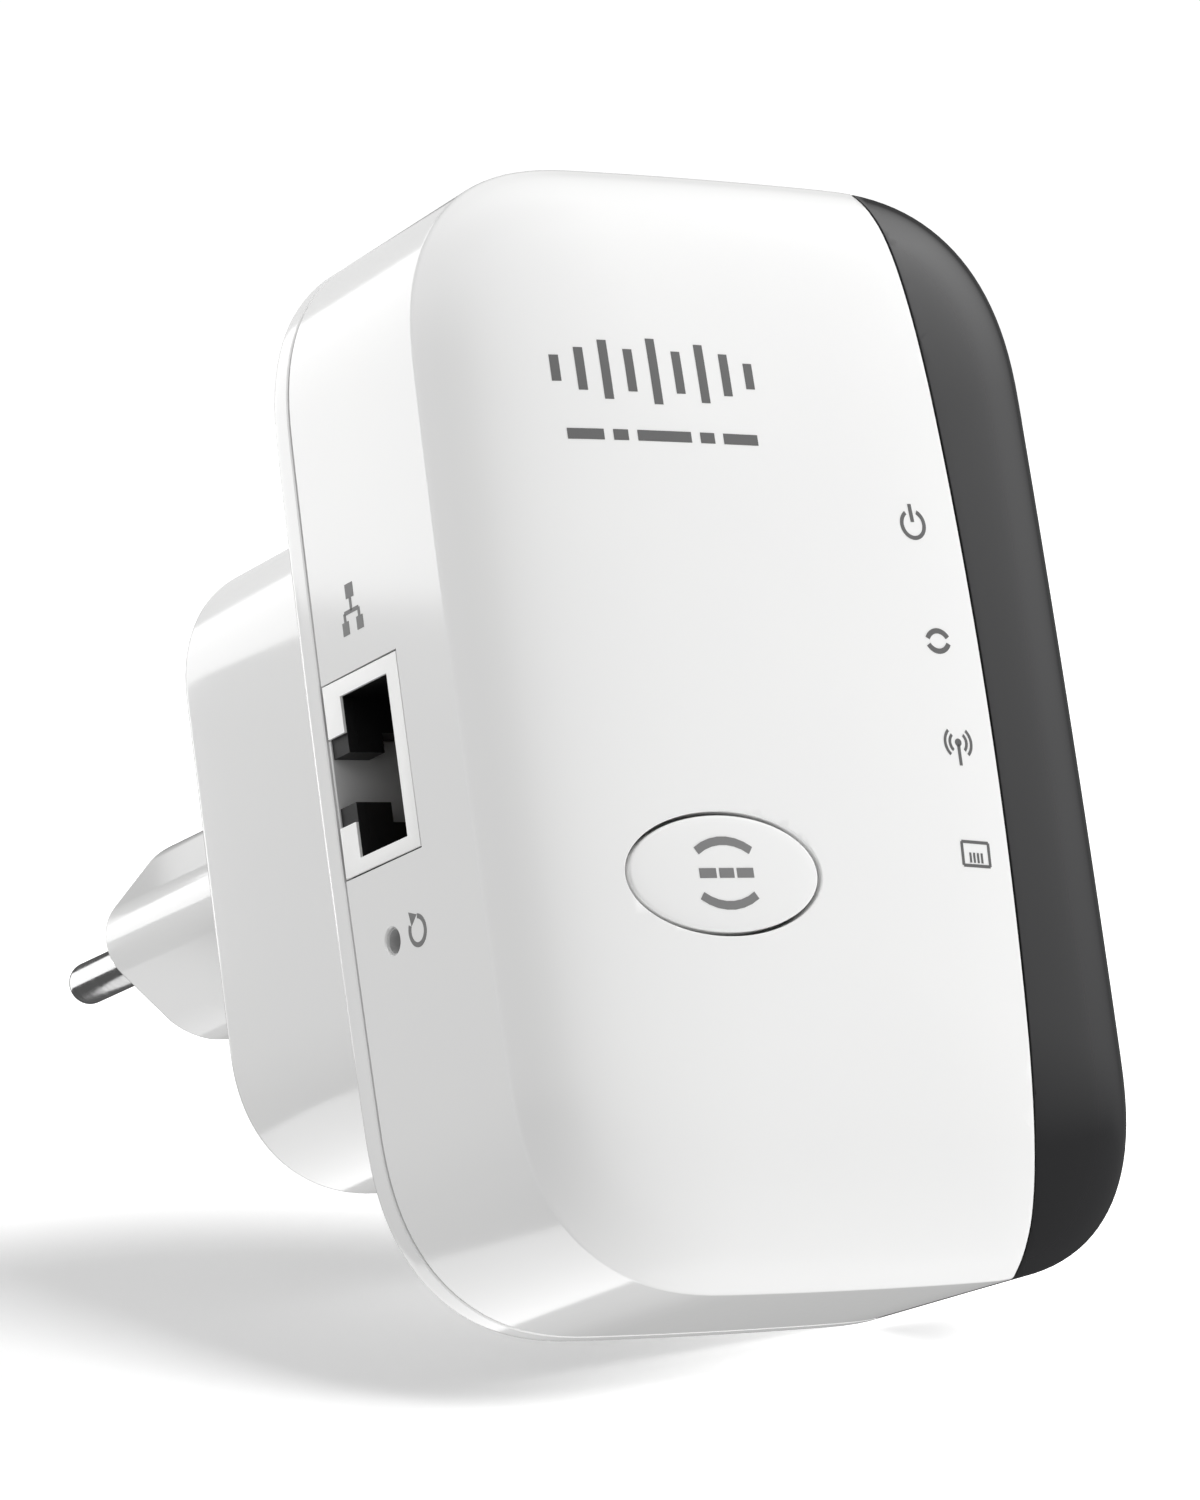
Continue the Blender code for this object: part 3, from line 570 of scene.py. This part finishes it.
# The thin white face of the jack, open at the back for the plug's latch.
jack_face = piece("jack_face", block((FACE_X, FACE_X + 0.24), FACE_Y, FACE_Z, 0.05), NYLON)
carve(jack_face, block((FACE_X - 1, FACE_X + 1), MOUTH_Y, MOUTH_Z))
carve(jack_face, block((FACE_X - 1, FACE_X + 1), (MOUTH_Y[0] + 1, 24), LATCH_Z))
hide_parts("jack_bezel")
# The black throat behind it, with the two stops that hold the latch.
throat_x = (FACE_X + 0.26, FACE_X + 1.19)
jack_throat = piece("jack_throat", block(throat_x, (8.1, 19.4), (-8.3, 7.56)), BLACK)
carve(jack_throat, block((FACE_X - 1, FACE_X + 3), MOUTH_Y, MOUTH_Z))
carve(jack_throat, block((FACE_X - 1, FACE_X + 3), (MOUTH_Y[0] + 1, 24), STOP_Z))
# A grey plate at the back of the latch slot: painted shade that darkens the slot.
piece("jack_slot_shade_plate", block((FACE_X + 0.15, -18.5), (19.44, 19.76), (-4.15, 3.2), 0.05),
      SHADE_GREY)


# ------------------------------------------------------------------ prints
def front_spot(x, z):
    """A point of the front and the way out of it."""
    return at(x, front_y(x, z), z), Vector((0, -1, 0))


def side_spot(u, z):
    """The same on the left wall, u being y."""
    return at(side_x(u, z), u, z), Vector((-1, 0, 0))


def cap_spot(x, z):
    """The same on the button's crown."""
    share = 1 - min(1.0, (((x - BUTTON[0]) / CROWN_HALF[0]) ** 2
                          + ((z - BUTTON[1]) / CROWN_HALF[1]) ** 2) ** 0.5)
    return at(x, front_y(x, z) - crown(share), z), Vector((0, -1, 0))


INK_PROUD = 0.03          # how far the ink stands above the plastic, and is sunk below it


class Print:
    """Flat shapes drawn in millimetres round a centre, then laid on a surface."""

    def __init__(self, centre, tilt=0.0):
        self.bm = bmesh.new()
        self.place = Matrix.Translation((*centre, 0)) @ Matrix.Rotation(radians(tilt), 4, "Z")

    def arc(self, cx, cz, r0, r1, start, sweep):
        """A band between two radii, from a start angle over a sweep, in degrees."""
        bm = bmesh.new()
        a = radians(start)
        verts = [bm.verts.new((cx + r * cos(a), cz + r * sin(a), 0)) for r in (r0, r1)]
        bmesh.ops.spin(bm, geom=verts + [bm.edges.new(verts)], cent=(cx, cz, 0),
                       axis=(0, 0, 1), angle=radians(sweep), steps=max(3, abs(sweep) // 10),
                       use_merge=abs(sweep) >= 360)
        return self.join(bm)

    def bar(self, x0, z0, x1, z1, width):
        """A straight stroke from one point to another."""
        bm = bmesh.new()
        run = Vector((x1 - x0, z1 - z0))
        bmesh.ops.create_grid(bm, x_segments=max(1, int(run.length)), y_segments=1, size=0.5)
        bmesh.ops.scale(bm, vec=(run.length, width, 1), verts=bm.verts)
        bmesh.ops.transform(bm, matrix=Matrix.Translation(((x0 + x1) / 2, (z0 + z1) / 2, 0))
                            @ Matrix.Rotation(atan2(run.y, run.x), 4, "Z"), verts=bm.verts)
        return self.join(bm)

    def dot(self, x, z, radius):
        """A round spot."""
        bm = bmesh.new()
        bmesh.ops.create_circle(bm, cap_ends=True, segments=24, radius=radius)
        bmesh.ops.translate(bm, vec=(x, z, 0), verts=bm.verts)
        return self.join(bm)

    def head(self, x, z, size, angle):
        """A triangle, as on an arrow's end."""
        bm = bmesh.new()
        bmesh.ops.create_circle(bm, cap_ends=True, segments=3, radius=size)
        bmesh.ops.transform(bm, matrix=Matrix.Translation((x, z, 0))
                            @ Matrix.Rotation(radians(angle), 4, "Z"), verts=bm.verts)
        return self.join(bm)

    def join(self, bm):
        """Add a shape to the print."""
        spare = bpy.data.meshes.new("spare")
        bm.to_mesh(spare)
        bm.free()
        self.bm.from_mesh(spare)
        bpy.data.meshes.remove(spare)
        return self

    def lay(self, name, spot, mat, body="case"):
        """Lay the shapes on a surface as a film of ink, its edge buried in the plastic."""
        bm = self.bm
        for v in bm.verts:
            flat = self.place @ v.co
            v.co, out = spot(flat.x, flat.y)
            v.co += out * INK_PROUD * MM
        grown = bmesh.ops.extrude_face_region(bm, geom=bm.faces[:])
        bmesh.ops.translate(bm, vec=-out * 2 * INK_PROUD * MM, verts=[
            v for v in grown["geom"] if isinstance(v, bmesh.types.BMVert)])
        bmesh.ops.recalc_face_normals(bm, faces=bm.faces)
        return piece(name, bm, mat, body, smooth=False)


# Front mark: plain bars over a plain broken line.
BARS = (2.2, 3.6, 5.0, 3.6, 5.6, 3.6, 5.0, 3.6, 2.2)
BAR_PITCH, BAR_WIDTH, DASH_GAP = 2.35, 0.85, 0.9
front_mark = Print((-10.5, 28.1))
for k, tall in enumerate(BARS):
    x = (k - len(BARS) // 2) * BAR_PITCH
    front_mark.bar(x, -tall / 2, x, tall / 2, BAR_WIDTH)
front_mark.lay("mark_front_bars", front_spot, INK)
front_line = Print((-9.6, 22.6))
x = -10.0
for run in (3.4, 1.4, 5.2, 1.4, 3.4):
    front_line.bar(x, 0, x + run, 0, 0.9)
    x += run + DASH_GAP
front_line.lay("mark_front_line", front_spot, INK)

# Button mark: two plain arcs round a short bar.
cap_mark = Print(BUTTON)
cap_mark.arc(0, -1.9, 4.2, 4.9, 55, 70).arc(0, 1.9, 4.2, 4.9, 235, 70)
cap_mark.bar(-2.6, 0, -1.0, 0, 0.8).bar(-0.7, 0, 0.7, 0, 0.8).bar(1.0, 0, 2.6, 0, 0.8)
cap_mark.lay("mark_button", cap_spot, INK_SOFT, "button")

# Lamp symbols down the edge of the strip: power, link, radio, network socket.
Print((13.6, 16.0), 4).arc(0, 0, 1.0, 1.35, 120, 300).bar(0, 0.2, 0, 1.75, 0.36).lay(
    "mark_power", front_spot, INK)
link = Print((14.4, 6.0), 2)
link.arc(0, -0.35, 1.0, 1.45, 30, 120).arc(0, 0.35, 1.0, 1.45, 210, 120)
link.lay("mark_link", front_spot, INK)
radio = Print((14.9, -3.1), -1).bar(0, -1.5, 0, 0.3, 0.3).dot(0, 0.45, 0.34)
for r in (0.75, 1.25):
    radio.arc(0, 0.45, r, r + 0.26, -48, 96).arc(0, 0.45, r, r + 0.26, 132, 96)
radio.lay("mark_radio", front_spot, INK)
socket = Print((15.0, -12.1), -3)
for side in ((-1.4, 1.0, 1.4, 1.0), (-1.4, -1.0, 1.4, -1.0), (-1.4, -1.0, -1.4, 1.0),
             (1.4, -1.0, 1.4, 1.0)):
    socket.bar(*side, 0.26)
for k in range(4):
    socket.bar(-0.6 + 0.4 * k, -0.75, -0.6 + 0.4 * k, 0.1, 0.2)
socket.lay("mark_network", front_spot, INK)

# Side marks: a little tree of squares by the jack, a turned arrow by the pinhole.
tree_mark = Print((13.7, 12.8))
tree_mark.bar(0, 0.9, 0, 2.1, 1.2).bar(0, -0.2, 0, 1.0, 0.35).bar(-1.1, -0.2, 1.1, -0.2, 0.35)
for x in (-1.1, 1.1):
    tree_mark.bar(x, -0.2, x, -1.0, 0.35).bar(x, -2.0, x, -0.9, 1.0)
tree_mark.lay("mark_jack", side_spot, INK_SOFT)
Print((10.1, -14.8)).arc(0, 0, 0.95, 1.35, 100, 290).head(0.55, 1.15, 0.7, 200).lay(
    "mark_reset", side_spot, INK_SOFT)


# ------------------------------------------------------------------ carried-over pieces
for node_name, node in frame["nodes"].items():
    # The reset plunger gets the grey as painted shade, darkening the bottom of the pinhole.
    wanted = SHADE_GREY if node_name == "reset_switch_plunger" else INSIDE[slot_of[node_name]]
    for k in range(len(node.material_slots)):
        node.material_slots[k].material = wanted


# ------------------------------------------------------------------ stage
FLOOR_UP = Vector((-0.0885, -0.361, 0.928)).normalized()
FLOOR_R, FLOOR_DROP = 0.9, 0.0003
lowest = min((at(x, REAR_Y, z) for x, z in outline(HALF_W - 0.6, HALF_H - 0.6, CORNER_R)),
             key=lambda p: p.dot(FLOOR_UP))
floor_bm = bmesh.new()
bmesh.ops.create_circle(floor_bm, cap_ends=True, segments=64, radius=FLOOR_R)
bmesh.ops.bevel(floor_bm, geom=floor_bm.edges[:], offset=0.05, segments=4, affect="EDGES",
                profile=0.5, material=-1)
bmesh.ops.transform(floor_bm, verts=floor_bm.verts, matrix=Matrix.Translation(
    lowest - FLOOR_UP * FLOOR_DROP) @ FLOOR_UP.to_track_quat("Z", "Y").to_matrix().to_4x4())
# Matt white studio paper with painted light: away from the spot under the plug block it glows, so
# that it burns out white past the shadow, and the glow is least at that spot.
SHADE = at(-28, 50, -46)
PAPER = finish("studio_paper_white_painted_glow", "#EAEAEA", "#E8E8E8", 0.9, 0.8, 20.0,
               Emission_Color=(1, 1, 1, 1))
paper_tree = PAPER.node_tree
paper_place = add(paper_tree, "ShaderNodeTexCoord")
paper_reach = add(paper_tree, "ShaderNodeVectorMath",
                  {0: (paper_place, "Object"), 1: SHADE}, operation="DISTANCE")
paper_painted_glow = add(paper_tree, "ShaderNodeMapRange", {
    "Value": (paper_reach, "Value"), "From Min": 0.028, "From Max": 0.068, "To Min": 0.14,
    "To Max": 0.85}, interpolation_type="SMOOTHSTEP")
paper_tree.links.new(paper_painted_glow.outputs[0],
                     paper_tree.nodes["Principled BSDF"].inputs["Emission Strength"])
floor = piece("floor", floor_bm, PAPER, body=None, smooth=False)
for flag in ("glossy", "diffuse", "shadow"):
    setattr(floor, "visible_" + flag, False)


# ------------------------------------------------------------------ lights
CENTRE = at(0, 10, 0)


def soft_light(name, place, size, watts, only_floor=False):
    """A square soft box that looks at the object, and lights either it or the floor."""
    data = bpy.data.lights.new(name, "AREA")
    data.size = size
    data.energy = watts
    light = bpy.data.objects.new(name, data)
    light.matrix_world = Matrix.Translation(CENTRE + Vector(place)) @ Vector(
        place).to_track_quat("Z", "Y").to_matrix().to_4x4()
    scene.collection.objects.link(light)
    light.visible_glossy = False
    lit = bpy.data.collections.new(name + "_receivers")
    lit.objects.link(floor)
    light.light_linking.receiver_collection = lit
    lit.collection_objects[0].light_linking.link_state = "INCLUDE" if only_floor else "EXCLUDE"


soft_light("key_right", (0.24, -0.23, 0.22), 0.2, 0.64)
soft_light("fill_left", (-0.32, 0.08, 0.18), 0.22, 0.42)
soft_light("high_right", (0.52, -0.22, 0.5), 0.45, 1.45)
soft_light("low_front", (0.15, -0.12, -0.33), 0.2, 0.8)
soft_light("floor_right", (0.065, -0.578, 0.156), 0.16, 3.4, only_floor=True)

# The world: plain white to the eye, even light on matt surfaces, and a brighter sky and
# front in reflections, so that the gloss has something to show.
world = bpy.data.worlds.new("studio")
scene.world = world
world.use_nodes = True
tree = world.node_tree
sky = tree.nodes["Background"]
sky.inputs["Color"].default_value = (1, 1, 1, 1)
way = add(tree, "ShaderNodeTexCoord")
split = add(tree, "ShaderNodeSeparateXYZ", {"Vector": (way, "Generated")})
rise = add(tree, "ShaderNodeMapRange", {"Value": (split, "Z"), "From Min": 0.0,
                                        "From Max": 0.6, "To Min": 0.1, "To Max": 2.6})
ahead = add(tree, "ShaderNodeMapRange", {"Value": (split, "Y"), "From Min": 0.35,
                                         "From Max": -0.35})
mirror = add(tree, "ShaderNodeMix", {0: (ahead, "Result"), 2: 0.1, 3: (rise, "Result")})
path = add(tree, "ShaderNodeLightPath")
ambient = add(tree, "ShaderNodeMix", {0: (path, "Is Glossy Ray"), 2: 0.57, 3: (mirror, 0)})
level = add(tree, "ShaderNodeMix", {0: (path, "Is Camera Ray"), 2: (ambient, 0), 3: 1.05})
tree.links.new(level.outputs[0], sky.inputs["Strength"])


CARD_Y = 150.0


def card(name, x, z, strength):
    """A glowing card behind the object, seen only in its reflections."""
    bm = bmesh.new()
    bmesh.ops.create_grid(bm, x_segments=1, y_segments=1, size=0.5)
    bmesh.ops.rotate(bm, verts=bm.verts, matrix=Matrix.Rotation(pi / 2, 3, "X"))
    bmesh.ops.scale(bm, vec=((x[1] - x[0]) * MM, 1, (z[1] - z[0]) * MM), verts=bm.verts)
    bmesh.ops.translate(bm, vec=at(sum(x) / 2, CARD_Y, sum(z) / 2), verts=bm.verts)
    mat = bpy.data.materials.new(name + "_glow")
    mat.use_nodes = True
    shader = mat.node_tree.nodes["Principled BSDF"]
    shader.inputs["Base Color"].default_value = (0, 0, 0, 1)
    shader.inputs["Specular IOR Level"].default_value = 0.0
    shader.inputs["Emission Color"].default_value = (1, 1, 1, 1)
    shader.inputs["Emission Strength"].default_value = strength
    obj = piece(name, bm, mat, body=None, smooth=False)
    for flag in ("camera", "diffuse", "transmission", "volume_scatter", "shadow"):
        setattr(obj, "visible_" + flag, False)


card("card_low", (-80, 36), (-260, -66), 1.9)
card("card_high", (-150, -32), (55, 260), 2.6)
card("card_nose", (-76, -40), (12, 55), 3.4)
card("card_pin", (-35, 16), (-58, -31), 0.95)
card("card_top", (-32, 60), (86, 180), 0.8)
card("card_top_low", (0, 60), (50, 86), 0.8)
card("card_pin_top", (-60, -14), (-2, 44), 1.3)
card("card_dark_left", (-300, -78), (-64, 42), 0.0)
